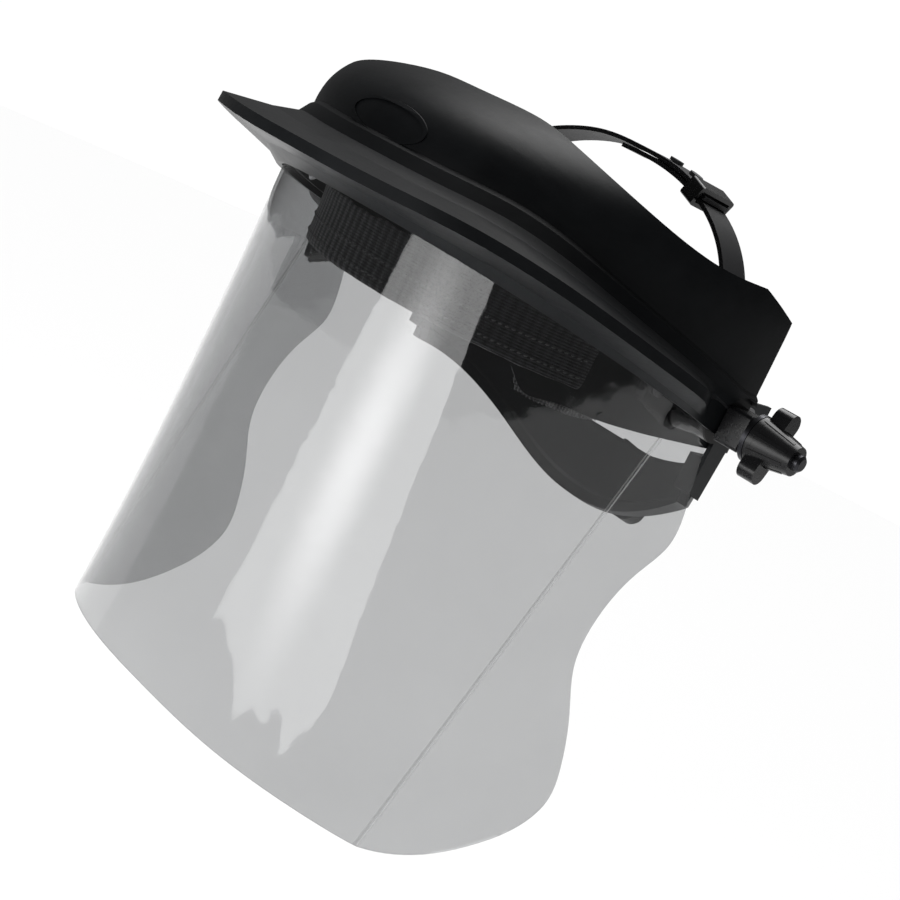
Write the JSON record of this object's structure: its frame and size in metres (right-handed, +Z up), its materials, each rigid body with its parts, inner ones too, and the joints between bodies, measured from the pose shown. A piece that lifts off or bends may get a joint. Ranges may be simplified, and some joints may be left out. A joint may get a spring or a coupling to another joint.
{
  "type": "face shield",
  "caption": "Face shield: a hinged crown guard with a clear moulded visor on a headgear with sweatband, crown strap and ratchet nape band.",
  "frame": {"origin": "middle of the hinge line between the two wing knobs, at the wearer's temples", "axes": "+X is the wearer's left along the hinge line, -Y is the way the wearer looks, +Z is up with the visor lowered"},
  "size_m": [0.257, 0.2512, 0.2461],
  "materials": {
    "guard_plastic": "satin moulded black",
    "clear_visor": "clear polycarbonate sheet",
    "matt_plastic": "matt moulded black",
    "ribbed_fabric": "ribbed towelling",
    "steel": "zinc plated",
    "rivet_metal": "satin",
    "washer_rubber": "matt",
    "nylon": "grey nylon"
  },
  "bodies": {
    "headgear": {"front_headband": "matt_plastic", "sweatband": "ribbed_fabric", "pivot_arm_left": "matt_plastic", "pivot_arm_right": "matt_plastic", "arm_rivets_left": "rivet_metal", "arm_rivets_right": "rivet_metal", "pivot_bolt_left": "steel", "pivot_bolt_right": "steel", "crown_strap_left": "matt_plastic", "crown_strap_right": "matt_plastic", "strap_pegs": "matt_plastic", "strap_keeper": "matt_plastic", "strap_rivets": "rivet_metal", "slide_pins": "nylon"},
    "shield": {"crown_guard": "guard_plastic", "visor": "clear_visor", "retaining_strip": "matt_plastic", "visor_rivets": "rivet_metal", "friction_washer_left": "washer_rubber", "friction_washer_right": "washer_rubber", "pivot_block_left": "matt_plastic", "pivot_block_right": "matt_plastic", "steel_washer_left": "steel", "steel_washer_right": "steel"},
    "left_wing_knob": {"wing_knob_left": "matt_plastic", "knob_nut_left": "steel"},
    "right_wing_knob": {"wing_knob_right": "matt_plastic", "knob_nut_right": "steel"},
    "nape": {"nape_band": "matt_plastic", "ratchet_housing": "matt_plastic", "ratchet_cover": "matt_plastic", "cover_screws": "steel"},
    "ratchet_drive": {"ratchet_pinion": "nylon", "ratchet_knob": "matt_plastic", "knob_screw": "steel"},
    "upper_rack": {"rack_upper": "nylon"},
    "lower_rack": {"rack_lower": "nylon"}
  },
  "joints": [
    {"name": "shield_tilt", "type": "hinge", "parent": "headgear", "child": "shield", "pos_m": [0, 0, 0], "axis": [-1, 0, 0], "range_deg": [0, 85]},
    {"name": "left_knob_turn", "type": "hinge", "parent": "headgear", "child": "left_wing_knob", "pos_m": [0, 0, 0], "axis": [1, 0, 0], "range_deg": [0, 180]},
    {"name": "right_knob_turn", "type": "hinge", "parent": "headgear", "child": "right_wing_knob", "pos_m": [0, 0, 0], "axis": [-1, 0, 0], "range_deg": [0, 180]},
    {"name": "nape_slide", "type": "slide", "parent": "headgear", "child": "nape", "axis": [0, 1, 0], "range_m": [-0.01, 0.006]},
    {"name": "ratchet_turn", "type": "hinge", "parent": "nape", "child": "ratchet_drive", "pos_m": [0, 0.0936, -0.055], "axis": [0, 0.9659, -0.2588], "range_deg": [-96, 58]},
    {"name": "upper_rack_slide", "type": "slide", "parent": "nape", "child": "upper_rack", "axis": [1, 0, 0], "range_m": [-0.01, 0.006]},
    {"name": "lower_rack_slide", "type": "slide", "parent": "nape", "child": "lower_rack", "axis": [1, 0, 0], "range_m": [-0.006, 0.01]}
  ],
  "couplings": [
    {"joint": "ratchet_turn", "follows": "nape_slide", "rad_per_m": 166.67},
    {"joint": "upper_rack_slide", "follows": "nape_slide", "ratio": 1},
    {"joint": "lower_rack_slide", "follows": "nape_slide", "ratio": -1}
  ]
}
